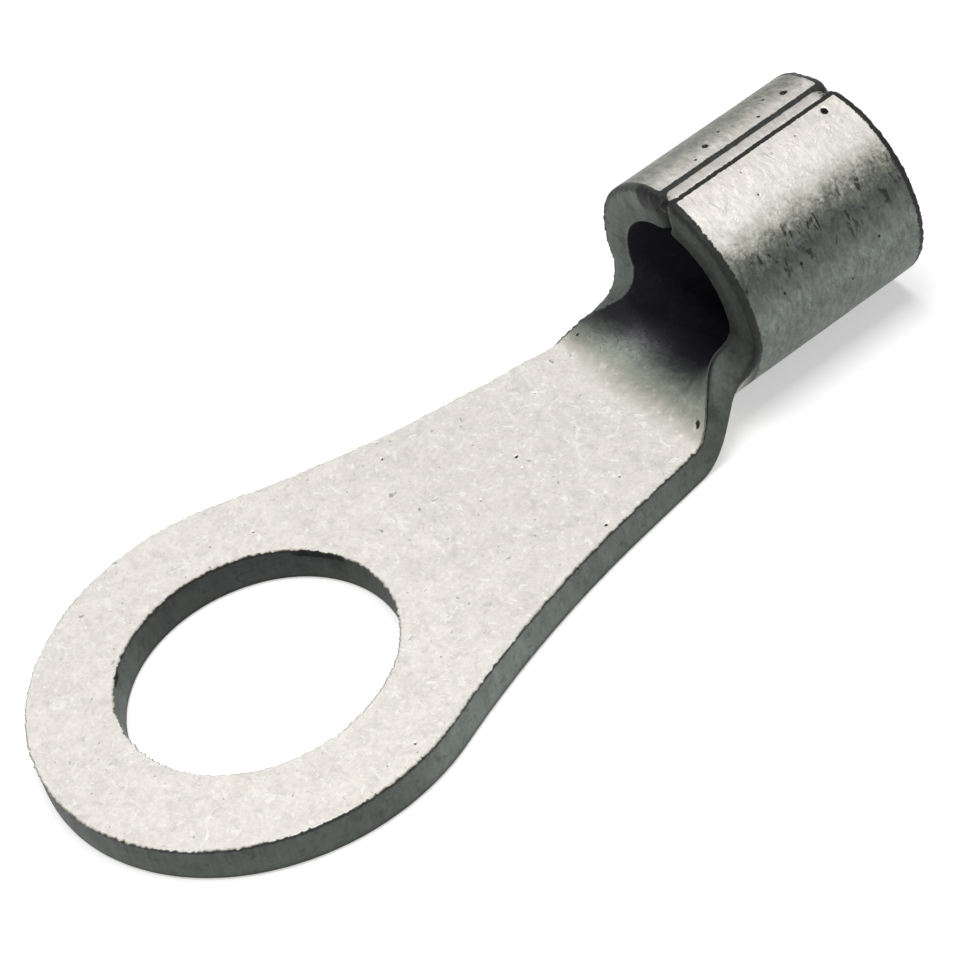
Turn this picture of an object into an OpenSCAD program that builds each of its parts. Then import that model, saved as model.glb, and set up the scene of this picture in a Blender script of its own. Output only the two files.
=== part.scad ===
// Bare ring terminal, stamped from one tinned copper strip and rolled into a butt-seam barrel.
// It lies on its underside. The origin is on the stud hole's axis at the underside,
// +Z goes up through the hole and +X runs along the tongue to the wire end of the barrel.

/* [Sheet] */
// Thickness of the strip
sheet_t = 1.2; // [0.8:0.05:1.5]

/* [Ring] */
// Width across the ring
ring_w = 13.8; // [12.6:0.1:15]
// Diameter of the stud hole
stud_hole_d = 8.4; // [6.4:0.1:9]
// Rounding that the punch leaves round the bottom of the stud hole
punch_roll = 0.12; // [0.05:0.01:0.25]

/* [Tongue] */
// Width of the tongue where it starts to curl
neck_w = 7.2; // [6.4:0.1:8]
// Taper of each side of the tongue, in degrees
side_taper = 9; // [6:0.5:12]
// Radius that blends the ring into the tapered sides
shoulder_r = 35; // [20:1:45]

/* [Neck] */
// Length of the neck, from the end of the flat tongue to the barrel's front edge
neck_len = 2.85; // [2.4:0.05:4]
// Length over which the neck curls from flat to the barrel's roundness
curl_len = 2.4; // [1.8:0.05:2.4]
// Radius in the corner between the neck and the barrel's front edge
corner_r = 0.9; // [0.6:0.1:1.2]

/* [Barrel] */
// Outside diameter of the barrel
barrel_d = 7; // [6.4:0.1:8.2]
// Length of the barrel along the wire
barrel_len = 6.6; // [5:0.1:10]
// Stud hole's axis to the front edge of the barrel
hole_to_barrel = 16.35; // [15.5:0.05:20]
// Rounding round the outside of the barrel's wire end
wire_end_roll = 0.12; // [0.05:0.01:0.25]

/* [Seam] */
// Gap left between the two butted edges
seam_gap = 0.1; // [0.06:0.01:0.2]
// Rounding of the two edges along the outside of the seam
seam_lip_r = 0.25; // [0.1:0.05:0.4]
// Rounding of the strip's corners at both ends of the seam
seam_corner_r = 0.35; // [0.2:0.05:0.6]
// Turn of the seam from the top of the barrel, in degrees
seam_turn = 5; // [-10:1:10]

/* [Hidden] */
$fn = 96;

// Cuts run this far past the faces that they open
over = 0.5;
// The neck's root reaches this far into the flat tongue
lap = 0.3;
// The neck's end stands this far inside the faces of the barrel's front edge
seat = 0.02;

ring_r = ring_w / 2;
hole_r = stud_hole_d / 2;
barrel_r = barrel_d / 2;
bore_r = barrel_r - sheet_t;
// Radius of the middle of the sheet round the barrel
roll_r = barrel_r - sheet_t / 2;
curl_start = hole_to_barrel - neck_len;
neck_half = neck_w / 2;

// ---- Flat outline of the ring and tongue ----

// Outward normal and direction of the upper tapered side
side_n = [sin(side_taper), cos(side_taper)];
side_t = [cos(side_taper), -sin(side_taper)];
// Distance of that side from the hole's axis
side_c = side_n * [curl_start, neck_half];
// Centre of the shoulder arc, which touches the ring and the side from outside
shoulder_reach = sqrt(pow(ring_r + shoulder_r, 2) - pow(side_c + shoulder_r, 2));
shoulder_c = side_n * (side_c + shoulder_r) + side_t * shoulder_reach;
shoulder_end = shoulder_c - side_n * shoulder_r;

function flip(p) = [p[0], -p[1]];

// Tapered sides with their shoulder arcs, as far in as the hole's axis
module tapered_web() {
    difference() {
        polygon([
            [0, 0],
            shoulder_c,
            shoulder_end,
            [curl_start, neck_half],
            [curl_start, -neck_half],
            flip(shoulder_end),
            flip(shoulder_c)
        ]);
        translate(shoulder_c) circle(shoulder_r);
        translate(flip(shoulder_c)) circle(shoulder_r);
    }
}

// Waste of the stud hole, with the bottom edge rounded as the punch leaves it
module stud_hole() {
    rotate_extrude()
        difference() {
            union() {
                translate([0, -over]) square([hole_r, sheet_t + 2 * over]);
                translate([0, -over]) square([hole_r + punch_roll, over + punch_roll]);
            }
            translate([hole_r + punch_roll, punch_roll]) circle(punch_roll);
        }
}

module flat_tongue() {
    difference() {
        linear_extrude(sheet_t) {
            circle(ring_r);
            tapered_web();
        }
        stud_hole();
    }
}

// ---- Neck: the strip curls up across its width while its middle stays flat on the surface ----

// The corner arc touches the tapered side and the barrel's front edge
corner_start = hole_to_barrel - corner_r * (1 + sin(side_taper));
side_fall = tan(side_taper);
corner_half = neck_half - (corner_start - curl_start) * side_fall;
corner_c = [hole_to_barrel - corner_r, corner_half + corner_r * cos(side_taper)];

straight_steps = 10;
corner_steps = 8;
width_steps = 24;
last_station = straight_steps + corner_steps + 1;

// Stations along the neck: [place along X, half width of the flat strip there].
// The first is a short root inside the flat tongue.
function straight_station(k) =
    let (x = curl_start + (corner_start - curl_start) * k / straight_steps)
    [x, neck_half - (x - curl_start) * side_fall];
function corner_station(k) =
    let (a = -side_taper + (90 + side_taper) * k / corner_steps)
    corner_c + corner_r * [sin(a), -cos(a)];
stations = [
    [curl_start - lap, neck_half - lap],
    for (k = [0 : straight_steps]) straight_station(k),
    for (k = [1 : corner_steps]) corner_station(k)
];

// Curvature of the sheet across its width, growing smoothly from flat to the barrel's own
function curl(x) =
    let (t = min(max((x - curl_start) / curl_len, 0), 1))
    t * t * (3 - 2 * t) / roll_r;

// Point at a distance s round the curled sheet from its middle, and at a height h from mid-sheet
function sheet_point(x, s, h) =
    let (bend = curl(x), a = s * bend * 180 / PI)
    bend < 0.0001
        ? [x, s, sheet_t / 2 + h]
        : [x, (1 / bend - h) * sin(a), sheet_t / 2 + 1 / bend - (1 / bend - h) * cos(a)];

// Half thickness at a station: the last one sits just inside the faces of the barrel's edge
function half_sheet(k) = sheet_t / 2 - (k == last_station ? seat : 0);

// All points of the top face (side = 1) or of the underside (side = -1)
function sheet_face(side) = [
    for (k = [0 : last_station])
        for (j = [0 : width_steps])
            sheet_point(stations[k][0], stations[k][1] * (2 * j / width_steps - 1), side * half_sheet(k))
];

row = width_steps + 1;
upper = row * (last_station + 1);
// Two triangles on four corners, given clockwise from outside
function two_triangles(a, b, c, d) = [[a, b, c], [a, c, d]];

module neck() {
    under_and_top = [
        for (k = [0 : last_station - 1])
            for (j = [0 : width_steps - 1])
                let (a = k * row + j, b = a + row)
                each concat(
                    two_triangles(a, b, b + 1, a + 1),
                    two_triangles(upper + a, upper + a + 1, upper + b + 1, upper + b)
                )
    ];
    cut_sides = [
        for (k = [0 : last_station - 1])
            let (a = k * row, b = a + row, c = a + width_steps, d = b + width_steps)
            each concat(
                two_triangles(a, upper + a, upper + b, b),
                two_triangles(c, d, upper + d, upper + c)
            )
    ];
    ends = [
        for (j = [0 : width_steps - 1])
            let (a = j, b = last_station * row + j)
            each [
                [a, a + 1, upper + a + 1, upper + a],
                [b, upper + b, upper + b + 1, b + 1]
            ]
    ];
    polyhedron(
        points = concat(sheet_face(-1), sheet_face(1)),
        faces = concat(under_and_top, cut_sides, ends),
        convexity = 4
    );
}

// ---- Barrel ----

// Centre of the rounding on one edge of the seam
lip_x = seam_gap / 2 + seam_lip_r;
lip_c = [lip_x, sqrt(pow(barrel_r - seam_lip_r, 2) - pow(lip_x, 2))];
// Where that rounding meets the outside of the barrel
lip_end = lip_c * barrel_r / norm(lip_c);

// Waste outside one rounded edge of the seam
module lip_waste() {
    difference() {
        polygon([
            [0, lip_c[1]],
            lip_c,
            lip_end,
            [lip_end[0], barrel_r + over],
            [0, barrel_r + over]
        ]);
        translate(lip_c) circle(seam_lip_r);
    }
}

module barrel_section() {
    difference() {
        circle(barrel_r);
        circle(bore_r);
        rotate(seam_turn) {
            translate([-seam_gap / 2, 0]) square([seam_gap, barrel_r + over]);
            lip_waste();
            mirror([1, 0]) lip_waste();
        }
    }
}

// Waste between the strip's two rounded corners at the end of the seam where the wire's axis is at 0
module corner_waste() {
    half_w = seam_gap / 2 + seam_corner_r;
    rotate(seam_turn)
        translate([0, barrel_r + over, 0])
            rotate([90, 0, 0])
                linear_extrude(sheet_t + 2 * over)
                    difference() {
                        translate([-half_w, -over]) square([2 * half_w, over + seam_corner_r]);
                        translate([-half_w, seam_corner_r]) circle(seam_corner_r);
                        translate([half_w, seam_corner_r]) circle(seam_corner_r);
                    }
}

// Waste outside the rounding of the wire end
module wire_end_waste() {
    rotate_extrude()
        difference() {
            translate([barrel_r - wire_end_roll, barrel_len - wire_end_roll])
                square(wire_end_roll + over);
            translate([barrel_r - wire_end_roll, barrel_len - wire_end_roll]) circle(wire_end_roll);
        }
}

module barrel() {
    translate([hole_to_barrel, 0, barrel_r])
        rotate([90, 0, 90])
            difference() {
                linear_extrude(barrel_len) barrel_section();
                corner_waste();
                translate([0, 0, barrel_len]) mirror([0, 0, 1]) corner_waste();
                wire_end_waste();
            }
}

module terminal() {
    color([0.82, 0.81, 0.78]) {
        flat_tongue();
        neck();
        barrel();
    }
}

terminal();
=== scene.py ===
import math
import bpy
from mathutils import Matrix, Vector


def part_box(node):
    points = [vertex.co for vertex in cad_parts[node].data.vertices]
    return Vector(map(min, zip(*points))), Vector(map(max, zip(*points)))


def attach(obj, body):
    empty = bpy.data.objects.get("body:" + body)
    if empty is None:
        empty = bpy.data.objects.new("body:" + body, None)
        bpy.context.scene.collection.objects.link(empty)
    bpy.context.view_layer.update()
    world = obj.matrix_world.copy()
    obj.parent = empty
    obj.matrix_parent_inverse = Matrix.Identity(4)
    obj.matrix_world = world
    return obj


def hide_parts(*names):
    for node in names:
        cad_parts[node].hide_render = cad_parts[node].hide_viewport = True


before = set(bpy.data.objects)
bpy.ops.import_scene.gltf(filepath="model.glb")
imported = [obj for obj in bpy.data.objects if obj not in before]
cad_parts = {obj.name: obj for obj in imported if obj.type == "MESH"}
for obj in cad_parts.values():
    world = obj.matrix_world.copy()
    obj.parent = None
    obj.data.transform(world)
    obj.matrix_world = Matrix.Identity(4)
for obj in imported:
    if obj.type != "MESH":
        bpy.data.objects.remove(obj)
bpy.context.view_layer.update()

from types import SimpleNamespace

import bpy
from bpy.props import FloatProperty, FloatVectorProperty, PointerProperty
from mathutils import Matrix, Vector, noise
from mathutils.geometry import delaunay_2d_cdt
from mathutils.kdtree import KDTree

bl_info = {
    "name": "Ring terminal",
    "version": (1, 0, 0),
    "blender": (4, 5, 0),
    "location": "View3D > Sidebar > Terminal",
    "description": "A bare ring terminal: a sheared strip of tinned copper, rolled into a barrel",
    "category": "Object",
}

NODE = "terminal"
BODY = "root"
LOW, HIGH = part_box(NODE)
MM = 0.001
# Width of the band along each edge whose mesh follows the edge
RIM = 0.30 * MM


# ---- Sizes and finishes that a user would change ----

def length(name, description, default):
    """A property that holds a length, in metres."""
    return FloatProperty(
        name=name, description=description, default=default,
        min=0.0, unit="LENGTH", subtype="DISTANCE", precision=5,
    )


def angle(name, description, degrees):
    """A property that holds an angle."""
    return FloatProperty(
        name=name, description=description, default=math.radians(degrees),
        unit="ROTATION", subtype="ANGLE",
    )


def share(name, description, default):
    """A property that holds a share from nothing to all."""
    return FloatProperty(
        name=name, description=description, default=default,
        min=0.0, max=1.0, subtype="FACTOR",
    )


def colour(name, description, default):
    """A property that holds a colour."""
    return FloatVectorProperty(
        name=name, description=description, default=default,
        size=3, min=0.0, max=1.0, subtype="COLOR",
    )


class StripSizes(bpy.types.PropertyGroup):
    """Sizes of the strip, as blanked and as rolled."""
    sheet: length("Sheet", "Thickness of the strip", 1.2 * MM)
    ring_width: length("Ring width", "Width across the ring", -2 * LOW.x)
    stud_hole: length("Stud hole", "Diameter of the stud hole", 8.4 * MM)
    neck_width: length("Neck width", "Width of the tongue where it starts to curl", 7.2 * MM)
    side_taper: angle("Side taper", "Taper of each side of the tongue", 9)
    shoulder: length("Shoulder radius", "Blend of the ring into the sides", 35 * MM)
    neck_length: length("Neck length", "From the flat tongue to the barrel's front", 2.85 * MM)
    curl_length: length("Curl length", "Over which the neck curls to the barrel's roundness", 2.4 * MM)
    corner: length("Corner radius", "Corner between the neck and the barrel's front edge", 0.9 * MM)
    barrel_width: length("Barrel diameter", "Outside diameter of the barrel", HIGH.z)
    barrel_front: length("Barrel front", "Stud hole's axis to the barrel's front edge", 16.35 * MM)
    barrel_back: length("Barrel back", "Stud hole's axis to the barrel's back edge", HIGH.x)
    seam_turn: angle("Seam turn", "Turn of the seam from the top of the barrel", 5)
    seam_gap: length("Seam gap", "Gap between the butted edges", 0.05 * MM)
    lobe_corner: length("Lobe corner", "Rounding of the blank's four barrel corners", 0.34 * MM)
    roll_over: length("Roll-over", "Rounding that shearing leaves round the underside", 0.12 * MM)
    seam_lip: length("Seam lip", "Rounding of the two edges along the outside of the seam", 0.25 * MM)
    burr: length("Burr", "Overhang of the torn lip round the top face", 0.05 * MM)
    grain: length("Mesh grain", "Distance between neighbouring points of the mesh", 0.13 * MM)


class TinFinish(bpy.types.PropertyGroup):
    """Colours of the tin plating."""
    bright: colour("Bright tin", "Tin on the open faces", (0.86, 0.83, 0.77))
    # The cut faces' dull tone is the bare metal's own, set darker as painted shade of the upright cut faces
    # too
    sheared: colour("Sheared edge", "The cut faces round the strip", (0.20, 0.225, 0.205))
    # Painted shade in pits, nicks, under the torn lip and in the seam's gaps; the same near-black also
    # colours the dark marks on the barrel
    crevice_shade_and_marks: colour("Crevice", "Dirt in pits and under the torn lip", (0.012, 0.012, 0.013))
    copper: colour("Copper", "Copper that shows where the plating is thin", (0.30, 0.25, 0.18))
    metal: share("Metal", "How far the surface reflects as bare metal", 0.25)


class StudioSettings(bpy.types.PropertyGroup):
    """Camera and light."""
    azimuth: angle("Azimuth", "Direction from the object to the camera", -113.38)
    elevation: angle("Elevation", "Height of the camera above the floor", 41.81)
    roll: angle("Roll", "Turn of the camera about its own axis", -19.31)
    distance: length("Distance", "From the camera to the point that it looks at", 86.46 * MM)
    lens: FloatProperty(
        name="Lens", description="Focal length on a sensor 36 mm wide", default=110.97,
        min=1.0, unit="CAMERA",
    )
    key: FloatProperty(
        name="Key light", description="Power of the large lamp", default=0.69,
        min=0.0, unit="POWER",
    )
    fill: share("Fill light", "Strength of the room's own light", 0.19)


# ---- Outline of the flat blank: x along the strip, s across it ----

def arc(centre, radius, start, end, steps=90):
    """Points on an arc, with angles in radians."""
    return [
        (
            centre[0] + radius * math.cos(start + (end - start) * i / steps),
            centre[1] + radius * math.sin(start + (end - start) * i / steps),
        )
        for i in range(steps + 1)
    ]


def half_outline(z, side):
    """Points along one side of the blank, from the ring's tip to the middle of the barrel's back edge."""
    ring = z.ring_width / 2
    taper = z.side_taper
    curl_start = z.barrel_front - z.neck_length
    neck_half = z.neck_width / 2
    out = (math.sin(taper), math.cos(taper))
    along = (math.cos(taper), -math.sin(taper))
    side_distance = out[0] * curl_start + out[1] * neck_half
    reach = math.sqrt((ring + z.shoulder) ** 2 - (side_distance + z.shoulder) ** 2)
    centre = [out[k] * (side_distance + z.shoulder) + along[k] * reach for k in (0, 1)]
    touch = math.atan2(centre[1], centre[0])
    corner_start = z.barrel_front - z.corner * (1 + math.sin(taper))
    corner_half = neck_half - (corner_start - curl_start) * math.tan(taper)
    corner_centre = (z.barrel_front - z.corner, corner_half + z.corner * math.cos(taper))
    roll_radius = (z.barrel_width - z.sheet) / 2
    seam = roll_radius * (math.pi + side * z.seam_turn) - z.seam_gap / 2
    lobe = z.lobe_corner
    quarter = math.pi / 2
    points = arc((0, 0), ring, math.pi, touch)
    points += arc(centre, z.shoulder, touch + math.pi, 3 * quarter - taper)
    points += arc(corner_centre, z.corner, -quarter - taper, 0)
    points += arc((z.barrel_front + lobe, seam - lobe), lobe, math.pi, quarter)
    points += arc((z.barrel_back - lobe, seam - lobe), lobe, quarter, 0)
    points += [(z.barrel_back, 0)]
    return [(x, side * s) for x, s in points]


def resample(points, spacing):
    """The closed line through the points, as evenly spaced points with outward normals."""
    walk = [0.0]
    closed = points + points[:1]
    for a, b in zip(closed, closed[1:]):
        walk.append(walk[-1] + math.dist(a, b))
    count = round(walk[-1] / spacing)
    even, k = [], 0
    for i in range(count):
        target = walk[-1] * i / count
        while walk[k + 1] < target:
            k += 1
        f = (target - walk[k]) / max(walk[k + 1] - walk[k], 1e-12)
        a, b = closed[k], closed[k + 1]
        even.append(Vector((a[0] + (b[0] - a[0]) * f, a[1] + (b[1] - a[1]) * f)))
    loop = []
    for i, p in enumerate(even):
        tangent = (even[(i + 1) % count] - even[i - 1]).normalized()
        loop.append((p, Vector((tangent.y, -tangent.x))))
    return loop


def edge_loops(z):
    """The blank's outline and the stud hole, each as points with normals that point off the sheet."""
    spacing = z.grain * 0.45
    lower = half_outline(z, -1)
    upper = half_outline(z, 1)
    around = lower + upper[::-1][1:-1]
    circle = arc((0, 0), z.stud_hole / 2, 2 * math.pi, 0, 720)[:-1]
    return [resample(around, spacing), resample(circle, spacing)]


def edge_profile(z, r):
    """The sheared edge from the top face down to a roll-over of radius r.

    Each row is (inset, height above mid-sheet, tear, cut, lip). Tear says how far the torn lip's
    raggedness moves a point, cut how far it is bare sheared metal, and lip how far it is under the lip.
    """
    top = z.sheet / 2
    b = z.burr
    tear_depth = 0.30 * z.sheet
    rows = [
        (RIM, top, 0.0, 0.0, 0.0),
        (0.20 * MM, top, 0.1, 0.0, 0.0),
        (0.11 * MM, top, 0.35, 0.0, 0.0),
        (0.06 * MM, top, 0.7, 0.10, 0.0),
        (0.025 * MM, top, 1.0, 0.30, 0.0),
        (0.0, top - 0.5 * b, 1.0, 0.55, 0.3),
        (0.4 * b, top - 1.2 * b, 0.8, 1.0, 1.0),
        (0.9 * b, top - 2.0 * b, 0.5, 1.0, 0.8),
        (1.0 * b, top - 0.6 * tear_depth, 0.4, 1.0, 0.25),
        (0.8 * b, top - tear_depth, 0.3, 1.0, 0.0),
        (0.2 * b, 0.0, 0.15, 1.0, 0.0),
        (0.0, -top + 1.3 * z.seam_lip, 0.05, 1.0, 0.0),
    ]
    for k in range(6):
        a = math.pi / 2 * k / 5
        rows.append((r - r * math.cos(a), -top + r - r * math.sin(a), 0.0, max(0.0, 1.0 - k / 4.0), 0.0))
    rows.append((RIM, -top, 0.0, 0.0, 0.0))
    return rows


def roll_over_at(z, x, s):
    """Radius of the roll-over at a place on the outline: larger along the seam than elsewhere."""
    seam = math.pi * (z.barrel_width - z.sheet) / 2
    near = min(max((abs(s) - 0.82 * seam) / (0.1 * seam), 0.0), 1.0)
    return z.roll_over + (z.seam_lip - z.roll_over) * near


# ---- Unevenness of the real sheet ----

# Pits in the outside of the barrel: place along the strip and turn from the barrel's top, radius, depth
BARREL_PITS = [
    (22.05, -15.9, 0.105, 0.16),
    (21.86, 10.7, 0.115, 0.13),
    (21.33, 16.5, 0.070, 0.05),
    (20.64, 5.8, 0.070, 0.06),
    (20.50, -8.0, 0.050, 0.05),
    (19.54, 15.0, 0.060, 0.05),
    (18.83, 10.9, 0.105, 0.13),
    (18.22, 5.8, 0.060, 0.05),
    (18.14, -8.0, 0.075, 0.05),
    (17.22, -8.0, 0.045, 0.04),
    (16.52, 16.5, 0.100, 0.08),
    (18.64, -32.0, 0.045, 0.04),
    (18.75, -17.5, 0.040, 0.03),
    (20.80, -18.0, 0.045, 0.03),
    (18.60, -71.0, 0.070, 0.05),
    (17.75, -79.0, 0.055, 0.05),
    (21.30, -84.0, 0.060, 0.05),
    (20.10, -97.0, 0.050, 0.04),
]


# Nicks in the top face: place along the strip and across it, radius, depth
TOP_NICKS = [
    (9.92, 0.56, 0.10, 0.05),
    (9.75, 0.02, 0.08, 0.04),
    (8.12, -0.06, 0.08, 0.04),
    (11.40, -2.58, 0.07, 0.04),
    (9.92, -3.82, 0.09, 0.06),
    (7.20, 3.80, 0.08, 0.05),
    (2.80, 4.42, 0.07, 0.05),
    (1.30, -6.20, 0.08, 0.05),
    (3.00, -6.05, 0.10, 0.06),
    (12.00, 2.30, 0.07, 0.03),
    (14.12, -3.08, 0.16, 0.08),
    (14.30, -3.28, 0.12, 0.08),
    (14.05, 3.45, 0.12, 0.07),
    (14.25, 3.15, 0.09, 0.05),
]


def ragged(x, s, seed):
    """Raggedness of the torn lip at a place on the outline, from about -1 to 1."""
    p = Vector((x / MM, s / MM, seed))
    return 0.5 * noise.noise(p * 2.1) + 0.9 * noise.noise(p * 7.0) + 0.9 * noise.noise(p * 17.0)


def uneven(x, s, level):
    """Slow unevenness of the faces, in metres, never outside the true faces.

    Level is -1 on the underside, 1 on the top face and between them in the sheet.
    """
    p = Vector((x / MM, s / MM, 5.0 * level))
    dip = 0.012 * (0.5 + 0.5 * noise.noise(p * 0.7)) + 0.005 * (0.5 + 0.5 * noise.noise(p * 2.6))
    return -dip * MM * level ** 9


# Hollows that shearing tore under the lip of the stud hole, which also deepen the painted shade under the lip
# there: direction from the hole's axis, half width
HOLE_HOLLOWS = [(31, 13), (139, 4)]


def hollow_at(z, p):
    """How far the lip is hollowed from below at a place on the outline, from 0 to 1."""
    if p.length > z.stud_hole / 2 + 0.5 * MM:
        return 0.0
    deepest = 0.0
    for direction, half_width in HOLE_HOLLOWS:
        away = abs(math.degrees(math.atan2(p.y, p.x)) - direction) / half_width
        deepest = max(deepest, 1.5 * (1.0 - away ** 2))
    return min(deepest * (1.0 + 0.8 * noise.noise(p.to_3d() / MM * 4.0)), 1.0)


def blank_pits(z):
    """The barrel's pits as places on the flat blank: (place, radius, depth), in metres."""
    roll_radius = (z.barrel_width - z.sheet) / 2
    pits = []
    for x, turn, radius, depth in BARREL_PITS:
        turn = math.radians(turn)
        around = math.pi - turn if turn > -z.seam_turn else -math.pi - turn
        pits.append((Vector((x * MM, around * roll_radius)), radius * MM, depth * MM))
    return pits


def pitted(p, pits):
    """How far the deepest pit reaches at a place, in metres, and how much painted shade darkens it there from
    0 to 1.
    """
    deepest, dirt = 0.0, 0.0
    for centre, radius, depth in pits:
        share_out = (p - centre).length / radius
        if share_out < 1.6:
            hollow = math.exp(-2.2 * share_out ** 2)
            deepest = max(deepest, depth * hollow)
            dirt = max(dirt, min(1.0, 1.7 * hollow * depth / (0.08 * MM)))
    return deepest, min(dirt, 1.0)


# ---- Flat blank as a closed mesh ----

def lattice(loops, inset, spacing):
    """Points of a triangular lattice inside the inset loops, clear of them."""
    tree = KDTree(sum(len(loop) for loop in loops))
    edge = []
    for loop in loops:
        for p, n in loop:
            q = p - n * inset
            tree.insert((q.x, q.y, 0), len(edge))
            edge.append((q, n))
    tree.balance()
    lowest = Vector((min(q.x for q, n in edge), min(q.y for q, n in edge)))
    highest = Vector((max(q.x for q, n in edge), max(q.y for q, n in edge)))
    row_height = spacing * math.sqrt(3) / 2
    found = []
    for j in range(int((highest.y - lowest.y) / row_height) + 1):
        for i in range(int((highest.x - lowest.x) / spacing) + 2):
            p = Vector((lowest.x + (i - 0.5 * (j % 2)) * spacing, lowest.y + j * row_height))
            near, index, gap = tree.find((p.x, p.y, 0))
            q, n = edge[index]
            if (p - q).dot(n) < 0 and gap > 0.55 * spacing:
                found.append(p)
    return found


def around_pits(points, pits):
    """The points, with finer rings of points in place of those that lie in a pit."""
    kept = [p for p in points if all((p - centre).length > 1.9 * radius for centre, radius, _ in pits)]
    for centre, radius, _ in pits:
        kept.append(centre.copy())
        for ring, count in ((0.3, 6), (0.6, 9), (0.95, 12), (1.35, 12), (1.75, 12)):
            for k in range(count):
                a = 2 * math.pi * (k + 0.5 * ring) / count
                kept.append(centre + radius * ring * Vector((math.cos(a), math.sin(a))))
    return kept


def blank_mesh(z):
    """The flat blank, with the places that the finish needs kept as attributes."""
    loops = edge_loops(z)
    pits = blank_pits(z)
    verts, faces, cut, lip, dirt = [], [], [], [], []
    starts = []
    for loop in loops:
        start = len(verts)
        starts.append(start)
        for p, n in loop:
            tear = ragged(p.x, p.y, 3.0)
            wander = 0.25 * ragged(p.x * 0.4, p.y * 0.4, 9.0)
            hollow = hollow_at(z, p)
            profile = edge_profile(z, roll_over_at(z, p.x, p.y))
            # On the barrel the torn lip lies along the roll-over, which the roll turns outwards
            rolled = min(max((p.x - z.barrel_front + 1.2 * MM) / (0.6 * MM), 0.0), 1.0)
            for inset, height, tears, bare, under in profile:
                if height < -0.25 * z.sheet and inset < RIM:
                    tears, bare = 0.8 * rolled, max(bare, 0.9 * rolled)
                else:
                    tears *= 1.0 - 0.75 * rolled
                if hollow > 0.0 and bare == 1.0 and height > 0.25 * z.sheet:
                    inset, under = inset + 1.5 * z.burr * hollow, max(under, 2.0 * hollow)
                shift = inset + z.burr * (tears * (0.5 - tear) + 0.3 * wander)
                q = p - n * shift
                verts.append((q.x, q.y, height))
                cut.append(bare)
                lip.append(under)
                dirt.append(0.0)
        rows, count = len(profile), len(loop)
        for i in range(count):
            a, b = start + i * rows, start + (i + 1) % count * rows
            faces += [(a + j, a + j + 1, b + j + 1, b + j) for j in range(rows - 1)]
    flat, edges, owner = [], [], []
    for loop, start in zip(loops, starts):
        first = len(flat)
        for i in range(len(loop)):
            k = start + i * rows
            flat.append(Vector(verts[k][:2]))
            owner.append((k, k + rows - 1))
            edges.append((first + i, first + (i + 1) % len(loop)))
    top = z.sheet / 2
    nicks = [(Vector((x * MM, s * MM)), radius * MM, depth * MM) for x, s, radius, depth in TOP_NICKS]
    for p in around_pits(lattice(loops, RIM, z.grain), pits + nicks):
        depth, dirty = pitted(p, pits)
        nick, nick_dirt = pitted(p, nicks)
        flat.append(p)
        owner.append((len(verts), len(verts) + 1))
        verts += [(p.x, p.y, top - nick), (p.x, p.y, depth - top)]
        cut += [0.0, 0.0]
        lip += [0.0, 0.0]
        # Painted shade in the nicks and pits, darkest where they are deepest
        dirt += [0.6 * nick_dirt, dirty]
    # The triangulation works in millimetres, which suits its own tolerance
    scaled = [p / MM for p in flat]
    _, _, triangles, origins, _, _ = delaunay_2d_cdt(scaled, edges, [], 1, 1e-7)
    hole = range(len(loops[0]), len(loops[0]) + len(loops[1]))
    for tri in triangles:
        corners = [origins[k][0] for k in tri]
        if all(k in hole for k in corners):
            continue
        a, b, c = (owner[k] for k in corners)
        faces.append((a[0], b[0], c[0]))
        faces.append((a[1], c[1], b[1]))
    verts = [(x, s, h + uneven(x, s, h / top)) for x, s, h in verts]
    mesh = bpy.data.meshes.new("tin_strip")
    mesh.from_pydata(verts, [], faces)
    mesh.update()
    mark(mesh, "cut", cut)
    mark(mesh, "lip", lip)
    mark(mesh, "dirt", dirt)
    return mesh


def bead_mesh(z):
    """The tin that fills the seam, as a closed strip on the flat blank that lies just under the outside."""
    roll_radius = (z.barrel_width - z.sheet) / 2
    centre = roll_radius * (math.pi + z.seam_turn)
    start, end = z.barrel_front + 0.06 * MM, z.barrel_back - 0.06 * MM
    steps = round((end - start) / (0.6 * z.grain))
    # Across the bead: distance from its middle as a share of half its width, depth under the outside
    section = [
        (-1.0, 0.10), (-0.7, 0.045), (-0.35, 0.035), (0.0, 0.035),
        (0.35, 0.035), (0.7, 0.045), (1.0, 0.10), (0.5, 0.42), (-0.5, 0.42),
    ]
    half_width = 0.22 * MM
    verts, faces, dirt = [], [], []
    for i in range(steps + 1):
        x = start + (end - start) * i / steps
        near_front = max(0.0, 1.0 - (x - start) / (0.40 * MM))
        near_back = max(0.0, 1.0 - (end - x) / (0.65 * MM))
        sunk = 0.30 * (near_front ** 1.5 + near_back ** 2)
        for share_out, depth in section:
            s = centre + share_out * half_width
            wave = 0.012 * noise.noise(Vector((x / MM * 2.2, s / MM * 4.0, 1.0)))
            if depth < 0.4:
                depth = min(depth + sunk + wave, 0.38)
            verts.append((x, s, depth * MM - z.sheet / 2))
            # Painted shade where the bead sinks at its ends, in the gap at the seam's ends
            dirt.append(max(near_front, 0.8 * near_back))
    around = len(section)
    for i in range(steps):
        for j in range(around):
            a, b = i * around + j, i * around + (j + 1) % around
            faces.append((a, b, b + around, a + around))
    faces += [tuple(range(around))[::-1], tuple(steps * around + j for j in range(around))]
    mesh = bpy.data.meshes.new("seam_tin")
    mesh.from_pydata(verts, [], faces)
    mesh.update()
    mark(mesh, "dirt", dirt)
    return mesh


def mark(mesh, name, values):
    """Keeps one number a point on the mesh."""
    attribute = mesh.attributes.new(name, "FLOAT", "POINT")
    attribute.data.foreach_set("value", values)


def mark_flat(mesh):
    """Keeps each point's place on the flat blank, for finishes that follow the strip."""
    attribute = mesh.attributes.new("flat", "FLOAT_VECTOR", "POINT")
    attribute.data.foreach_set("vector", [c for v in mesh.vertices for c in v.co])


# ---- Geometry Nodes: the rule that rolls the flat strip ----

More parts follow.
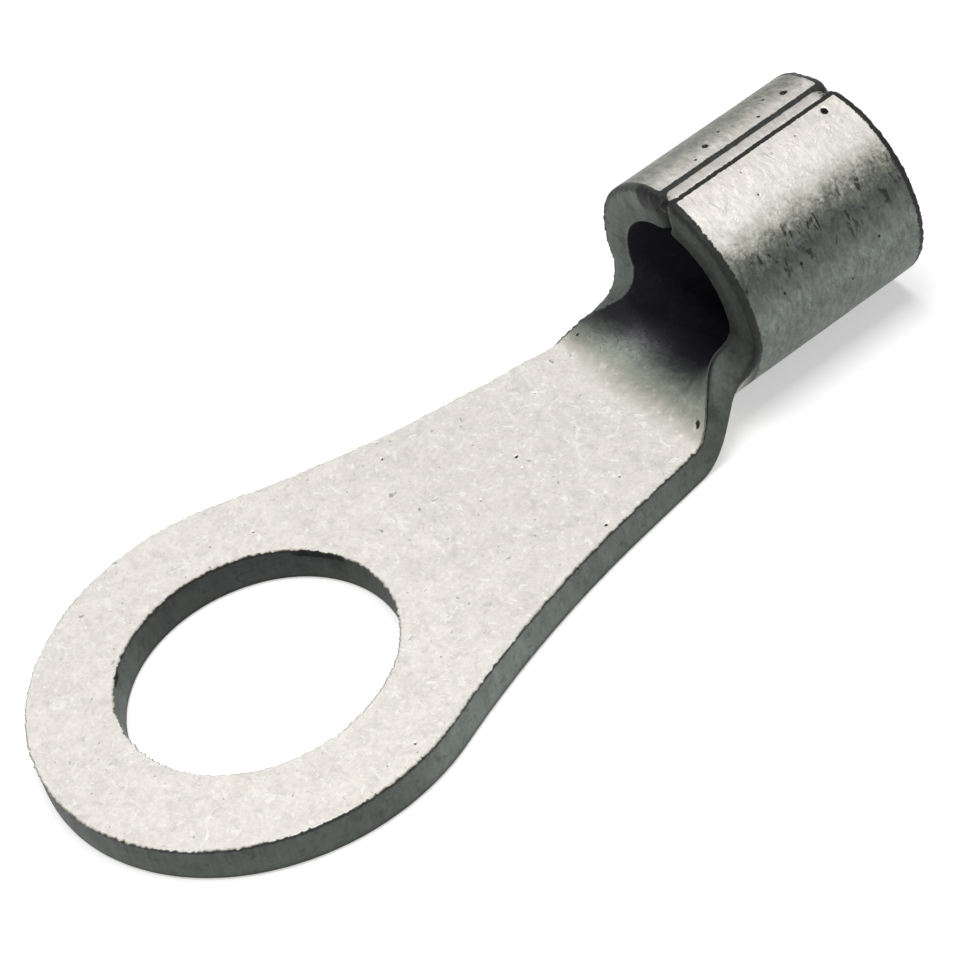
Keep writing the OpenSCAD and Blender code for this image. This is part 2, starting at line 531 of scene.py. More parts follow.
def node(tree, kind, inputs=(), **settings):
    """A node with its settings, and its inputs given in order as values or sockets; None leaves one alone."""
    made = tree.nodes.new(kind)
    for name, value in settings.items():
        setattr(made, name, value)
    for socket, value in zip(made.inputs, inputs):
        if isinstance(value, bpy.types.NodeSocket):
            tree.links.new(value, socket)
        elif value is not None:
            socket.default_value = value
    return made


def maths(tree, operation, a, b=None, c=None):
    """The result of one Math node."""
    kind = "ShaderNodeMath"
    return node(tree, kind, (a, b, c), operation=operation).outputs[0]


def rolling_tree(finish):
    """Node group that bends a flat strip about its length.

    The curvature grows smoothly from nothing at Curl start to the barrel's own over Curl length, and the
    strip's middle stays down on the surface that it lies on.
    """
    tree = bpy.data.node_groups.new("roll_strip", "GeometryNodeTree")
    face = tree.interface
    face.new_socket("Geometry", in_out="INPUT", socket_type="NodeSocketGeometry")
    for name in ("Sheet", "Barrel diameter", "Curl start", "Curl length"):
        socket = face.new_socket(name, in_out="INPUT", socket_type="NodeSocketFloat")
        socket.subtype = "DISTANCE"
    face.new_socket("Geometry", in_out="OUTPUT", socket_type="NodeSocketGeometry")
    given = tree.nodes.new("NodeGroupInput").outputs
    place = tree.nodes.new("GeometryNodeInputPosition").outputs[0]
    split = node(tree, "ShaderNodeSeparateXYZ", (place,)).outputs
    along, across, height = split[0], split[1], split[2]
    half_sheet = maths(tree, "MULTIPLY", given["Sheet"], 0.5)
    roll_radius = maths(tree, "SUBTRACT", maths(tree, "MULTIPLY", given["Barrel diameter"], 0.5), half_sheet)
    end = maths(tree, "ADD", given["Curl start"], given["Curl length"])
    grown = node(
        tree, "ShaderNodeMapRange", (along, given["Curl start"], end, 0.0, 1.0),
        interpolation_type="SMOOTHSTEP",
    ).outputs[0]
    bend = maths(tree, "DIVIDE", grown, roll_radius)
    turn = maths(tree, "MULTIPLY", across, bend)
    # sin(turn) / turn and (1 - cos(turn)) / turn, kept finite where the strip is flat
    safe = maths(tree, "MAXIMUM", maths(tree, "ABSOLUTE", turn), 1e-5)
    narrowing = maths(tree, "DIVIDE", maths(tree, "SINE", safe), safe)
    half_turn = maths(tree, "MULTIPLY", turn, 0.5)
    safe_half = maths(tree, "MAXIMUM", maths(tree, "ABSOLUTE", half_turn), 1e-5)
    half_narrowing = maths(tree, "DIVIDE", maths(tree, "SINE", safe_half), safe_half)
    lift = maths(tree, "MULTIPLY", maths(tree, "SINE", half_turn), half_narrowing)
    new_y = maths(
        tree, "SUBTRACT",
        maths(tree, "MULTIPLY", across, narrowing),
        maths(tree, "MULTIPLY", height, maths(tree, "SINE", turn)),
    )
    new_z = maths(
        tree, "ADD",
        maths(tree, "ADD", half_sheet, maths(tree, "MULTIPLY", across, lift)),
        maths(tree, "MULTIPLY", height, maths(tree, "COSINE", turn)),
    )
    rolled = node(tree, "ShaderNodeCombineXYZ", (along, new_y, new_z)).outputs[0]
    moved = node(tree, "GeometryNodeSetPosition", (given["Geometry"], None, rolled)).outputs[0]
    smooth = node(tree, "GeometryNodeSetShadeSmooth", (moved,)).outputs[0]
    real = node(tree, "GeometryNodeRealizeInstances", (smooth,)).outputs[0]
    painted = node(tree, "GeometryNodeSetMaterial", (real, None, finish)).outputs[0]
    node(tree, "NodeGroupOutput", (painted,))
    return tree


def rolled_piece(name, flat_mesh, z, finish):
    """The piece that rolling makes of a flat mesh, as a plain mesh object; the operators attach it to the
    body.
    """
    source = bpy.data.objects.new(name + "_flat", flat_mesh)
    bpy.context.scene.collection.objects.link(source)
    tree = bpy.data.node_groups.get("roll_strip") or rolling_tree(finish)
    modifier = source.modifiers.new("roll", "NODES")
    modifier.node_group = tree
    values = {
        "Sheet": z.sheet,
        "Barrel diameter": z.barrel_width,
        "Curl start": z.barrel_front - z.neck_length,
        "Curl length": z.curl_length,
    }
    for item in tree.interface.items_tree:
        if item.in_out == "INPUT" and item.name in values:
            modifier[item.identifier] = values[item.name]
    evaluated = source.evaluated_get(bpy.context.evaluated_depsgraph_get())
    mesh = bpy.data.meshes.new_from_object(evaluated)
    bpy.data.objects.remove(source)
    mesh.name = name
    piece = bpy.data.objects.new(name, mesh)
    bpy.context.scene.collection.objects.link(piece)
    return piece


# ---- Finish ----

# Colour painted round the outside of the barrel in place of how it reflects the room: a painted highlight
# band near the top, painted shade to either side of it, a painted dark reflection band lower on the near side
# and a lighter painted floor reflection under that; turn from the barrel's top in degrees, colour
BARREL_PAINTED_SHADING = [
    (-100, (0.215, 0.24, 0.215)),
    (-88, (0.25, 0.28, 0.25)),
    (-76, (0.15, 0.165, 0.15)),
    (-64, (0.082, 0.09, 0.082)),
    (-54, (0.19, 0.20, 0.165)),
    (-45, (0.60, 0.59, 0.52)),
    (-37, (0.78, 0.755, 0.71)),
    (-24, (0.68, 0.655, 0.615)),
    (4, (0.65, 0.62, 0.57)),
    (14, (0.36, 0.36, 0.31)),
    (24, (0.20, 0.21, 0.175)),
    (45, (0.33, 0.34, 0.31)),
]

# Painted shade of the neck's inside, darkening into the bore and a little lighter again towards the back end:
# distance past the barrel's front in millimetres, colour
NECK_PAINTED_SHADE = [
    (-3.1, (0.80, 0.77, 0.715)),
    (-2.5, (0.58, 0.56, 0.50)),
    (-2.05, (0.35, 0.36, 0.30)),
    (-1.5, (0.19, 0.215, 0.18)),
    (-1.15, (0.100, 0.113, 0.100)),
    (-0.85, (0.050, 0.053, 0.053)),
    (-0.4, (0.018, 0.017, 0.022)),
    (0.6, (0.012, 0.011, 0.015)),
    (4.0, (0.060, 0.056, 0.074)),
]

# Painted shade of the sheared edges, which sets how light or dark each cut face is by where it stands:
# distance along the strip in millimetres, share of the sheared colour
OUTLINE_PAINTED_SHADE = [
    (-7.0, 0.64), (0.0, 0.66), (1.8, 1.15), (5.0, 1.2),
    (8.5, 0.90), (12.0, 0.85), (14.5, 0.42), (17.0, 0.23),
]
# Painted shade of the stud hole's wall, lighter on the side nearer the ring's tip: distance along the strip
# in millimetres, share of the sheared colour
HOLE_PAINTED_SHADE = [(-4.2, 0.85), (-3.2, 0.75), (-1.0, 0.38), (4.2, 0.28)]

# Tin that handling has rubbed bright
WORN_TIN = (0.97, 0.95, 0.91)
# How far before the barrel's front, in millimetres, the painted shade of the neck starts to darken faster at
# its sides
NECK_DARKENS = 2.3
# Height of the tin's fine relief
RELIEF = 0.012 * MM


def smooth_step(tree, value, low, high):
    """0 below low and 1 above high, turning smoothly between them; low may be the larger."""
    return node(
        tree, "ShaderNodeMapRange", (value, low, high, 0.0, 1.0), interpolation_type="SMOOTHSTEP"
    ).outputs[0]


def cloud(tree, place, scale, detail=3.0, roughness=0.6, distortion=0.0):
    """Soft noise from 0 to 1, with its scale in features per millimetre."""
    made = node(tree, "ShaderNodeTexNoise")
    tree.links.new(place, made.inputs["Vector"])
    for name, value in {
        "Scale": scale, "Detail": detail, "Roughness": roughness, "Distortion": distortion,
    }.items():
        made.inputs[name].default_value = value
    return made.outputs["Fac"]


def stretched(tree, place, scale, turn=0.0):
    """The place with its pattern stretched, and turned about the vertical."""
    made = node(tree, "ShaderNodeMapping", vector_type="POINT")
    tree.links.new(place, made.inputs["Vector"])
    made.inputs["Rotation"].default_value = (0, 0, turn)
    made.inputs["Scale"].default_value = scale
    return made.outputs[0]


def scratches(tree, place, scale, width, amount):
    """Short, thin, slightly curved lines from 0 to 1."""
    level = cloud(tree, place, scale, 1.0, 0.4)
    away = maths(tree, "ABSOLUTE", maths(tree, "SUBTRACT", level, 0.5))
    line = smooth_step(tree, away, width, 0.3 * width)
    broken = smooth_step(tree, cloud(tree, place, 1.7 * scale, 2.0), 1.0 - amount, 1.06 - amount)
    return maths(tree, "MULTIPLY", line, broken)


def blend(tree, amount, under, over):
    """Colour over laid on colour under by an amount; each is a colour or a socket."""
    made = node(tree, "ShaderNodeMix", data_type="RGBA")
    for socket, value in zip((made.inputs[0], made.inputs[6], made.inputs[7]), (amount, under, over)):
        if isinstance(value, bpy.types.NodeSocket):
            tree.links.new(value, socket)
        else:
            socket.default_value = value if isinstance(value, float) else (*value, 1)
    return made.outputs[2]


def shade(tree, colour_in, amount, low, high):
    """A colour made darker or lighter: times low where the amount is 0 and times high where it is 1."""
    factor = node(tree, "ShaderNodeMapRange", (amount, 0.0, 1.0, low, high)).outputs[0]
    grey = node(tree, "ShaderNodeCombineColor", (factor, factor, factor)).outputs[0]
    return multiplied(tree, colour_in, grey)


def multiplied(tree, colour_in, other):
    """One colour times another."""
    made = node(tree, "ShaderNodeMix", data_type="RGBA", blend_type="MULTIPLY", clamp_result=False)
    made.inputs[0].default_value = 1.0
    tree.links.new(colour_in, made.inputs[6])
    tree.links.new(other, made.inputs[7])
    return made.outputs[2]


def ramp(tree, value, stops):
    """A colour that runs through the stops, each a (value, colour), as the value rises."""
    low, high = stops[0][0], stops[-1][0]
    run = maths(tree, "DIVIDE", maths(tree, "SUBTRACT", value, low), high - low)
    made = node(tree, "ShaderNodeValToRGB", (run,))
    elements = made.color_ramp.elements
    elements[0].position, elements[1].position = 0.0, 1.0
    for at, _ in stops[1:-1]:
        elements.new((at - low) / (high - low))
    for element, (_, tint) in zip(elements, stops):
        element.color = (*tint, 1)
    return made.outputs["Color"]


def share_ramp(tree, value, stops):
    """The same as ramp, with a grey share in each stop in place of a colour."""
    return ramp(tree, value, [(at, (share_here / 2,) * 3) for at, share_here in stops])


def wavering(tree, value, *clouds):
    """The value moved to and fro by clouds, each a (noise from 0 to 1, width)."""
    for level, width in clouds:
        value = maths(tree, "ADD", value, maths(tree, "MULTIPLY", maths(tree, "SUBTRACT", level, 0.5), width))
    return value


def times(tree, a, b):
    """One value times another."""
    return maths(tree, "MULTIPLY", a, b)


def rest_of(tree, value):
    """What a share leaves of the whole."""
    return maths(tree, "SUBTRACT", 1.0, value)


def close_to(tree, value, middle, none, full):
    """1 where the value is within full of the middle and 0 where it is further from it than none."""
    away = maths(tree, "ABSOLUTE", maths(tree, "SUBTRACT", value, middle))
    return smooth_step(tree, away, none, full)


def in_millimetres(tree, place):
    """A place in metres, as one in millimetres."""
    made = node(tree, "ShaderNodeVectorMath", (place,), operation="SCALE")
    made.inputs["Scale"].default_value = 1 / MM
    return made.outputs[0]


def places_on_strip(tree, z):
    """Where on the part: in millimetres, round the barrel in radians, and shares from 0 to 1."""
    at = SimpleNamespace()
    cut, lip, dirt, flat = (
        node(tree, "ShaderNodeAttribute", attribute_name=name).outputs
        for name in ("cut", "lip", "dirt", "flat")
    )
    at.cut, at.lip, at.dirt = cut["Fac"], lip["Fac"], dirt["Fac"]
    at.place = in_millimetres(tree, tree.nodes.new("ShaderNodeTexCoord").outputs["Object"])
    at.strip = in_millimetres(tree, flat["Vector"])
    at.x, at.y, at.height = node(tree, "ShaderNodeSeparateXYZ", (at.place,)).outputs
    _, at.across, at.level = node(tree, "ShaderNodeSeparateXYZ", (at.strip,)).outputs
    at.front, at.back = z.barrel_front / MM, z.barrel_back / MM
    at.on_barrel = smooth_step(tree, at.x, at.front - 0.9, at.front + 0.1)
    at.off_barrel = rest_of(tree, at.on_barrel)
    at.inside = smooth_step(tree, at.level, -0.1, 0.3)
    at.outside = times(tree, at.on_barrel, rest_of(tree, at.inside))
    over_axis = maths(tree, "SUBTRACT", at.height, 0.5 * z.barrel_width / MM)
    at.turn = maths(tree, "ARCTAN2", at.y, over_axis)
    return at


def tin_patterns(tree, at):
    """Soft patches, fine grain, strokes that follow the roll, curls, lines, specks and shear marks."""
    on = SimpleNamespace()
    on.patches = cloud(tree, at.place, 1.4, 5.0, 0.7)
    on.grain = cloud(tree, at.place, 8.0, 3.0, 0.75)
    on.strokes = cloud(tree, stretched(tree, at.strip, (6.0, 3.0, 1.0)), 1.0, 3.0, 0.7, 0.5)
    blotch_place = stretched(tree, at.place, (1.0, 0.7, 1.0), 0.4)
    on.blotches = smooth_step(tree, cloud(tree, blotch_place, 2.6, 4.0, 0.7, 0.5), 0.52, 0.66)
    on.specks = smooth_step(tree, cloud(tree, at.place, 4.2, 2.0, 0.5, 0.5), 0.305, 0.25)
    on.shear = cloud(tree, stretched(tree, at.place, (2.6, 2.6, 0.9)), 1.0, 5.0, 0.75)
    curl_place = stretched(tree, at.place, (1.0, 0.45, 1.0), math.radians(8))
    curls = scratches(tree, curl_place, 1.1, 0.030, 0.42)
    curls = times(tree, curls, smooth_step(tree, on.grain, 0.40, 0.50))
    line_place = stretched(tree, at.place, (1.0, 0.3, 1.0), math.radians(-50))
    lines = scratches(tree, line_place, 0.8, 0.012, 0.40)
    white_place = stretched(tree, at.place, (1.0, 0.6, 1.0), 0.5)
    on.white = smooth_step(tree, cloud(tree, white_place, 4.2, 3.0, 0.6, 0.3), 0.585, 0.645)
    on.worn = maths(tree, "MAXIMUM", on.white, maths(tree, "MAXIMUM", curls, lines))
    on.ragged_x = wavering(tree, at.x, (on.grain, 0.5), (on.patches, 0.5))
    return on


def open_faces(tree, f, at, on):
    """Colour of the flat faces: bright tin with patches, worn lines and specks, and painted shade that
    darkens the tongue towards the neck.
    """
    face = shade(tree, as_colour(tree, f.bright), on.patches, 0.82, 1.18)
    face = shade(tree, face, on.grain, 0.76, 1.24)
    face = shade(tree, face, on.blotches, 1.0, 0.90)
    # Painted shade, darker towards the neck
    face = shade(tree, face, smooth_step(tree, at.x, 2.0, 9.0), 1.0, 0.94)
    face = blend(tree, times(tree, on.worn, 0.75), face, WORN_TIN)
    return blend(tree, times(tree, on.specks, 0.62), face, f.sheared)


def barrel_outside(tree, f, z, at, on):
    """Colour of the barrel's outside: painted highlight and painted shade round it, dark marks, painted shade
    in the seam's groove and at its ends, and painted shade along the rims.
    """
    around = wavering(tree, at.turn, (on.patches, 0.30), (on.grain, 0.22))
    around = times(tree, around, math.degrees(1))
    # Painted highlight, painted shade and painted reflections round the barrel, by turn
    barrel_shading = ramp(tree, around, BARREL_PAINTED_SHADING)
    # Where the painted highlight lies
    painted_highlight_band = close_to(tree, around, -20.0, 36.0, 24.0)
    rougher = maths(tree, "SUBTRACT", 1.35, painted_highlight_band)
    stroked = maths(tree, "ADD", rougher, 0.35)
    barrel_shading = shade(tree, barrel_shading, wavering(tree, 0.5, (on.patches, rougher)), 0.80, 1.20)
    barrel_shading = shade(tree, barrel_shading, wavering(tree, 0.5, (on.strokes, stroked)), 0.45, 1.55)
    barrel_shading = shade(tree, barrel_shading, wavering(tree, 0.5, (on.grain, rougher)), 0.55, 1.45)
    mark_place = stretched(tree, at.strip, (4.6, 2.0, 1.0))
    marks = smooth_step(tree, cloud(tree, mark_place, 1.0, 3.0, 0.6, 0.5), 0.58, 0.63)
    band = close_to(tree, around, -62.0, 16.0, 7.0)
    marked = maths(tree, "MULTIPLY_ADD", band, 0.65, times(tree, rest_of(tree, painted_highlight_band), 0.2))
    barrel_shading = blend(tree, times(tree, marks, marked), barrel_shading, f.crevice_shade_and_marks)
    barrel_shading = blend(tree, times(tree, times(tree, on.specks, painted_highlight_band), 0.5), barrel_shading, f.sheared)
    barrel_shading = blend(tree, times(tree, times(tree, on.white, painted_highlight_band), 0.5), barrel_shading, f.bright)
    # Painted shade in the seam's groove
    seam_groove_shade = close_to(tree, at.turn, math.radians(1.3) - z.seam_turn, 0.095, 0.065)
    barrel_shading = shade(tree, barrel_shading, seam_groove_shade, 1.0, 0.85)
    # Painted shade in the gap at the seam's ends, in the sheared colour
    seam_end_shade = maths(
        tree, "MAXIMUM", smooth_step(tree, on.ragged_x, at.front + 0.35, at.front + 0.1),
        smooth_step(tree, on.ragged_x, at.back - 0.75, at.back - 0.35),
    )
    barrel_shading = blend(tree, times(tree, times(tree, seam_groove_shade, seam_end_shade), 0.8), barrel_shading, f.sheared)
    # Painted shade along the barrel's front and back edges, strongest on the low side
    low_side = smooth_step(tree, around, -34.0, -50.0)
    rim_shade = maths(
        tree, "MAXIMUM", smooth_step(tree, on.ragged_x, at.front + 0.22, at.front + 0.05),
        smooth_step(tree, on.ragged_x, at.back - 0.20, at.back - 0.02),
    )
    rim_share = maths(tree, "MULTIPLY_ADD", low_side, 0.75, 0.2)
    return shade(tree, barrel_shading, times(tree, rim_shade, rim_share), 1.0, 0.15)


def neck_inside(tree, at, on):
    """Colour of the inside of the neck and the bore: painted shade that darkens into the bore, and faster
    towards the strip's sides.

    It comes with the share, from 0 to 1, in which it covers the open face.
    """
    steeper = maths(tree, "MULTIPLY_ADD", at.across, 0.013, 0.052)
    sideways = times(tree, times(tree, at.across, at.across), steeper)
    faster = node(tree, "ShaderNodeClamp", (maths(tree, "ADD", sideways, 1.0), 1.0, 2.6)).outputs[0]
    past_start = maths(tree, "SUBTRACT", at.x, at.front - NECK_DARKENS)
    along = maths(tree, "SUBTRACT", times(tree, past_start, faster), NECK_DARKENS)
    along = wavering(tree, along, (cloud(tree, at.place, 3.0, 4.0, 0.7), 0.8), (on.grain, 0.5))
    inside_shade = shade(tree, ramp(tree, along, NECK_PAINTED_SHADE), on.grain, 0.85, 1.15)
    inside_shade = blend(tree, times(tree, on.worn, 0.35), inside_shade, shade(tree, inside_shade, 1.0, 1.0, 1.5))
    return inside_shade, times(tree, at.inside, smooth_step(tree, along, -3.1, -2.6))


def sheared_edges(tree, f, z, at, on):
    """Colour of the cut faces: upright shear marks, painted shade by where each face stands, painted light on
    the far lobe's edges, a painted dark line along the barrel's outer edges, a painted contact shadow at the
    foot and painted shade under the torn lip.
    """
    edge = shade(tree, as_colour(tree, f.sheared), on.shear, 0.8, 3.2)
    edge = shade(tree, edge, on.grain, 0.70, 1.30)
    edge = shade(tree, edge, on.blotches, 1.08, 0.75)
    hole_reach = z.stud_hole / MM / 2 + 0.2
    squared = maths(tree, "ADD", times(tree, at.x, at.x), times(tree, at.y, at.y))
    in_hole = smooth_step(tree, maths(tree, "SQRT", squared), hole_reach + 0.1, hole_reach)
    # Painted shade of each cut face, by where it stands along the outline and round the hole
    outline = share_ramp(tree, at.x, OUTLINE_PAINTED_SHADE)
    edge_shade = blend(tree, in_hole, outline, share_ramp(tree, at.x, HOLE_PAINTED_SHADE))
    # Painted light on the cut faces of the barrel's far lobe
    lit_far_lobe = times(tree, at.on_barrel, smooth_step(tree, at.y, -0.5, 1.0))
    edge = shade(tree, multiplied(tree, edge, edge_shade), lit_far_lobe, 1.0, 3.1)
    # Painted shade along the barrel's outer edges, which also darkens the edges along the seam
    outer_edge_shade = smooth_step(tree, wavering(tree, at.level, (on.grain, 0.25)), -0.36, -0.50)
    edge = shade(tree, edge, times(tree, at.on_barrel, outer_edge_shade), 1.0, 0.4)
    # Painted contact shadow along the foot of the cut faces off the barrel
    contact_shadow = times(tree, smooth_step(tree, at.height, 0.26, 0.06), at.off_barrel)
    edge = shade(tree, edge, contact_shadow, 1.0, 0.35)
    # Painted shade under the torn lip
    shade_under_lip = smooth_step(tree, wavering(tree, at.lip, (on.grain, 0.8)), 0.35, 0.75)
    return blend(tree, times(tree, times(tree, shade_under_lip, 0.9), at.off_barrel), edge, f.crevice_shade_and_marks)


def sheared_share(tree, at, on):
    """How far a point is bare sheared metal, with a jagged border that reaches further by the neck."""
    near_neck = close_to(tree, at.x, at.front - 1.9, 1.1, 0.3)
    reach = times(tree, times(tree, near_neck, 0.35), smooth_step(tree, at.cut, 0.0, 0.05))
    jagged = maths(tree, "ADD", wavering(tree, at.cut, (on.grain, 1.2)), reach)
    return smooth_step(tree, jagged, 0.25, 0.50)


def thin_plating(tree, at):
    """Where copper shows along the torn lip, from 0 to 1."""
    thin = times(tree, smooth_step(tree, at.cut, 0.01, 0.2), smooth_step(tree, at.cut, 0.9, 0.5))
    here = smooth_step(tree, cloud(tree, at.place, 0.35, 2.0), 0.42, 0.56)
    return times(tree, times(tree, thin, at.off_barrel), here)


def front_gap_shade(tree, at, on):
    """Painted shade in the gap at the seam's front end, from 0 to 1."""
    by_crevice = close_to(tree, at.turn, 0.13, 0.20, 0.12)
    at_front = smooth_step(tree, on.ragged_x, at.front + 0.24, at.front + 0.14)
    return times(tree, times(tree, by_crevice, at.outside), at_front)


def surface(tree, shader, f, at, on):
    """Sets how the tin shines and its fine relief."""
    shader.inputs["Metallic"].default_value = f.metal
    bore = times(tree, at.inside, at.on_barrel)
    sheen = node(tree, "ShaderNodeMapRange", (bore, 0.0, 1.0, 0.35, 0.08)).outputs[0]
    tree.links.new(sheen, shader.inputs["Specular IOR Level"])
    rough = node(tree, "ShaderNodeMapRange", (on.grain, 0.0, 1.0, 0.38, 0.62)).outputs[0]
    rough = maths(tree, "ADD", rough, times(tree, at.cut, 0.12))
    tree.links.new(rough, shader.inputs["Roughness"])
    shear_here = times(tree, on.shear, at.cut)
    relief = wavering(tree, times(tree, on.grain, 0.7), (on.patches, 0.8), (shear_here, 1.0))
    relief = maths(tree, "ADD", relief, times(tree, times(tree, on.strokes, at.outside), 0.7))
    relief = maths(tree, "ADD", relief, times(tree, on.worn, 0.5))
    bump = node(tree, "ShaderNodeBump")
    bump.inputs["Strength"].default_value = 1.0
    bump.inputs["Distance"].default_value = RELIEF
    tree.links.new(relief, bump.inputs["Height"])
    tree.links.new(bump.outputs[0], shader.inputs["Normal"])


def tin_finish(f, z):
    """Matte tin plating with painted highlight and painted shade round the barrel, bare sheared edges with
    painted shade, and painted shade in the neck and the bore.
    """
    material = bpy.data.materials.new("matte_tin")
    material.use_nodes = True
    tree = material.node_tree
    shader = tree.nodes["Principled BSDF"]
    at = places_on_strip(tree, z)
    on = tin_patterns(tree, at)
    body = blend(tree, at.outside, open_faces(tree, f, at, on), barrel_outside(tree, f, z, at, on))
    # Painted shade of the neck's inside and the bore
    inside_shade, inside_shade_share = neck_inside(tree, at, on)
    body = blend(tree, inside_shade_share, body, inside_shade)
    body = blend(tree, sheared_share(tree, at, on), body, sheared_edges(tree, f, z, at, on))
    body = blend(tree, times(tree, thin_plating(tree, at), 0.55), body, f.copper)
    # Painted shade in the gap at the seam's front end
    body = blend(tree, times(tree, front_gap_shade(tree, at, on), 0.9), body, f.crevice_shade_and_marks)
    # Painted shade in pits, nicks and at the seam tin's sunk ends
    dirty = smooth_step(tree, wavering(tree, at.dirt, (on.grain, 1.2)), 0.25, 0.5)
    body = blend(tree, dirty, body, f.crevice_shade_and_marks)
    tree.links.new(body, shader.inputs["Base Color"])
    surface(tree, shader, f, at, on)
    return material


def as_colour(tree, value):
    """A colour as a socket, for nodes that take one."""
    made = node(tree, "ShaderNodeRGB")
    made.outputs[0].default_value = (*value, 1)
    return made.outputs[0]


# ---- Operators ----

def strip_finish(scene):
    """The one finish that every piece shares."""
    return bpy.data.materials.get("matte_tin") or tin_finish(scene.tin_finish, scene.strip_sizes)


class TERMINAL_OT_strip(bpy.types.Operator):
    """Blank, shear and roll the tinned strip"""
    bl_idname = "terminal.strip"
    bl_label = "Rolled strip"

    def execute(self, context):
        z = context.scene.strip_sizes
        mesh = blank_mesh(z)
        mark_flat(mesh)
        piece = rolled_piece("tinned_strip", mesh, z, strip_finish(context.scene))
        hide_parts(NODE)
        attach(piece, BODY)
        return {"FINISHED"}


class TERMINAL_OT_seam(bpy.types.Operator):
    """Fill the barrel's seam with plating tin"""
    bl_idname = "terminal.seam"
    bl_label = "Seam tin"

    def execute(self, context):
        z = context.scene.strip_sizes
        mesh = bead_mesh(z)
        mark_flat(mesh)
        piece = rolled_piece("seam_tin", mesh, z, strip_finish(context.scene))
        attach(piece, BODY)
        return {"FINISHED"}


def camera_axes(studio):
    """Right, up and forward of the camera."""
    a, e, r = studio.azimuth, studio.elevation, studio.roll
    forward = -Vector((math.cos(e) * math.cos(a), math.cos(e) * math.sin(a), math.sin(e)))
    right = forward.cross(Vector((0, 0, 1))).normalized()
    up = right.cross(forward)
    return (
        right * math.cos(r) + up * math.sin(r),
        up * math.cos(r) - right * math.sin(r),
        forward,
    )


# The point that the camera looks at
AIM = Vector((8.629, 0.728, 1.183)) * MM


def seen_not_bounced(tree):
    """1 for rays that see the background, directly or mirrored, and 0 for the light that it gives."""
    path = tree.nodes.new("ShaderNodeLightPath").outputs
    either = maths(tree, "MAXIMUM", path["Is Camera Ray"], path["Is Glossy Ray"])
    return maths(tree, "MAXIMUM", either, path["Is Transmission Ray"])


def studio_floor():
    """A wide, plain, pale floor."""
    half = 2.0
    mesh = bpy.data.meshes.new("floor")
    mesh.from_pydata(
        [(-half, -half, 0), (half, -half, 0), (half, half, 0), (-half, half, 0)], [], [(0, 1, 2, 3)]
    )
    floor = bpy.data.objects.new("floor", mesh)
    bpy.context.scene.collection.objects.link(floor)
    material = bpy.data.materials.new("white_floor")
    material.use_nodes = True
    tree = material.node_tree
    tree.nodes.clear()
    seen = seen_not_bounced(tree)
    paint = node(tree, "ShaderNodeBsdfDiffuse")
    tree.links.new(blend(tree, seen, (0.5, 0.5, 0.5), (0.65, 0.65, 0.65)), paint.inputs["Color"])
    glow = node(tree, "ShaderNodeEmission")
    glow.inputs["Color"].default_value = (1, 1, 1, 1)
    tree.links.new(maths(tree, "MULTIPLY", seen, 0.5), glow.inputs["Strength"])
    both = node(tree, "ShaderNodeAddShader", (paint.outputs[0], glow.outputs[0]))
    node(tree, "ShaderNodeOutputMaterial", (both.outputs[0],))
    mesh.materials.append(material)


def studio_world(fill):
    """Dim, even room light behind a white horizon."""
    world = bpy.data.worlds.new("studio")
    bpy.context.scene.world = world
    world.use_nodes = True
    tree = world.node_tree
    background = tree.nodes["Background"]
    background.inputs["Color"].default_value = (1, 1, 1, 1)
    seen = seen_not_bounced(tree)
    direction = node(tree, "ShaderNodeTexCoord").outputs["Generated"]
    height = node(tree, "ShaderNodeSeparateXYZ", (direction,)).outputs[2]
    horizon = node(tree, "ShaderNodeMapRange", (height, 0.2, 0.4, 1.0, 0.0), interpolation_type="SMOOTHSTEP")
    white = maths(tree, "MULTIPLY", seen, horizon.outputs[0])
    strength = maths(tree, "ADD", maths(tree, "MULTIPLY", white, 1.0 - fill), fill)
    tree.links.new(strength, background.inputs["Strength"])


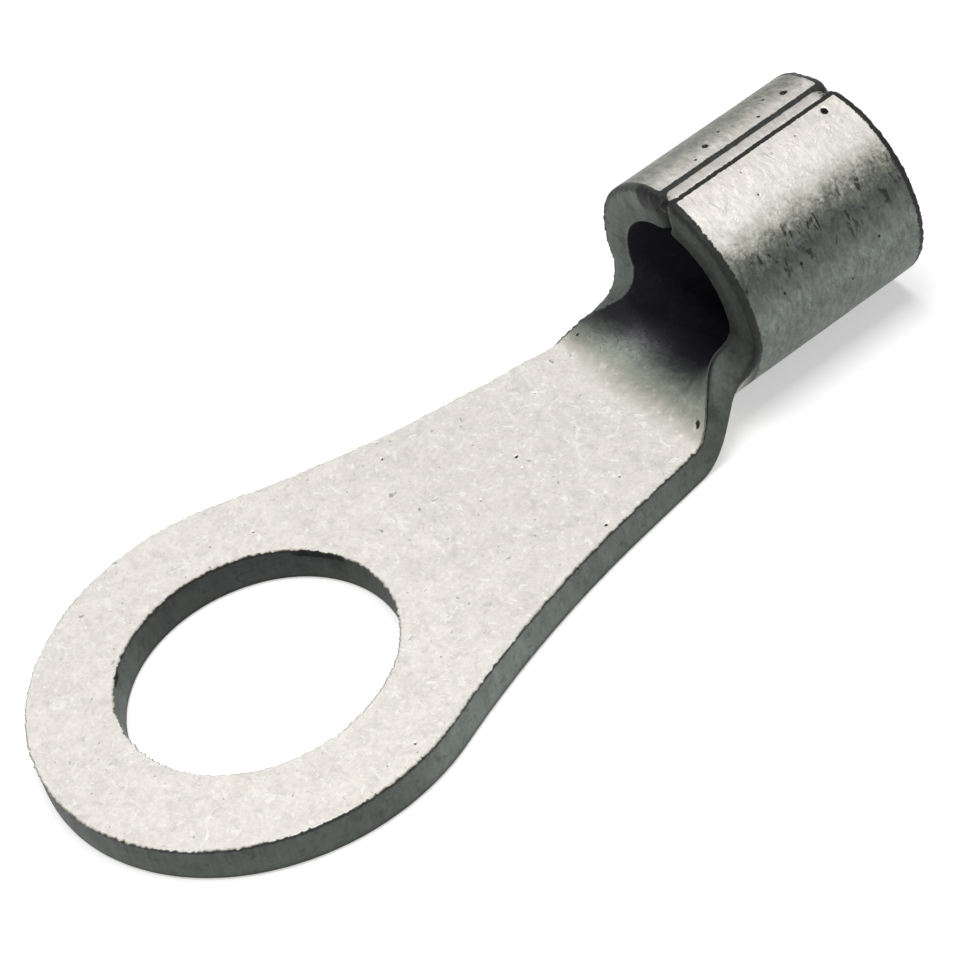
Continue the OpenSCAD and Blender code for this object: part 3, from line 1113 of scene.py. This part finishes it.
def lamp(name, place, target, size, power):
    """A square softbox at a place, facing a target."""
    data = bpy.data.lights.new(name, "AREA")
    data.size = size
    data.energy = power
    light = bpy.data.objects.new(name, data)
    light.location = place
    light.rotation_euler = (Vector(target) - Vector(place)).to_track_quat("-Z", "Y").to_euler()
    bpy.context.scene.collection.objects.link(light)


class TERMINAL_OT_stage(bpy.types.Operator):
    """Set out the floor, the light and the camera"""
    bl_idname = "terminal.stage"
    bl_label = "Studio"

    def execute(self, context):
        studio = context.scene.studio_settings
        studio_floor()
        studio_world(studio.fill)
        lamp("key_softbox", (0.01, -0.02, 0.27), AIM, 0.16, studio.key)
        data = bpy.data.cameras.new("camera")
        data.sensor_width = 36.0
        data.lens = studio.lens
        data.clip_start = 0.005
        camera = bpy.data.objects.new("camera", data)
        right, up, forward = camera_axes(studio)
        turn = Matrix((right, up, -forward)).transposed()
        camera.matrix_world = Matrix.LocRotScale(AIM - forward * studio.distance, turn.to_quaternion(), None)
        context.scene.collection.objects.link(camera)
        context.scene.camera = camera
        context.scene.view_settings.view_transform = "Standard"
        return {"FINISHED"}


class VIEW3D_PT_terminal(bpy.types.Panel):
    """Lists what makes the terminal"""
    bl_label = "Ring terminal"
    bl_idname = "VIEW3D_PT_terminal"
    bl_space_type = "VIEW_3D"
    bl_region_type = "UI"
    bl_category = "Terminal"

    def draw(self, context):
        layout = self.layout
        for group in (context.scene.strip_sizes, context.scene.tin_finish, context.scene.studio_settings):
            for name in group.__annotations__:
                layout.prop(group, name)
        for operator in OPERATORS:
            layout.operator(operator.bl_idname)


GROUPS = {"strip_sizes": StripSizes, "tin_finish": TinFinish, "studio_settings": StudioSettings}
OPERATORS = (TERMINAL_OT_strip, TERMINAL_OT_seam, TERMINAL_OT_stage)
CLASSES = (*GROUPS.values(), *OPERATORS, VIEW3D_PT_terminal)


def register():
    for cls in CLASSES:
        bpy.utils.register_class(cls)
    for name, group in GROUPS.items():
        setattr(bpy.types.Scene, name, PointerProperty(type=group))


def unregister():
    for name in GROUPS:
        delattr(bpy.types.Scene, name)
    for cls in reversed(CLASSES):
        bpy.utils.unregister_class(cls)


def main():
    register()
    bpy.ops.terminal.strip()
    bpy.ops.terminal.seam()
    bpy.ops.terminal.stage()


if __name__ == "__main__":
    main()
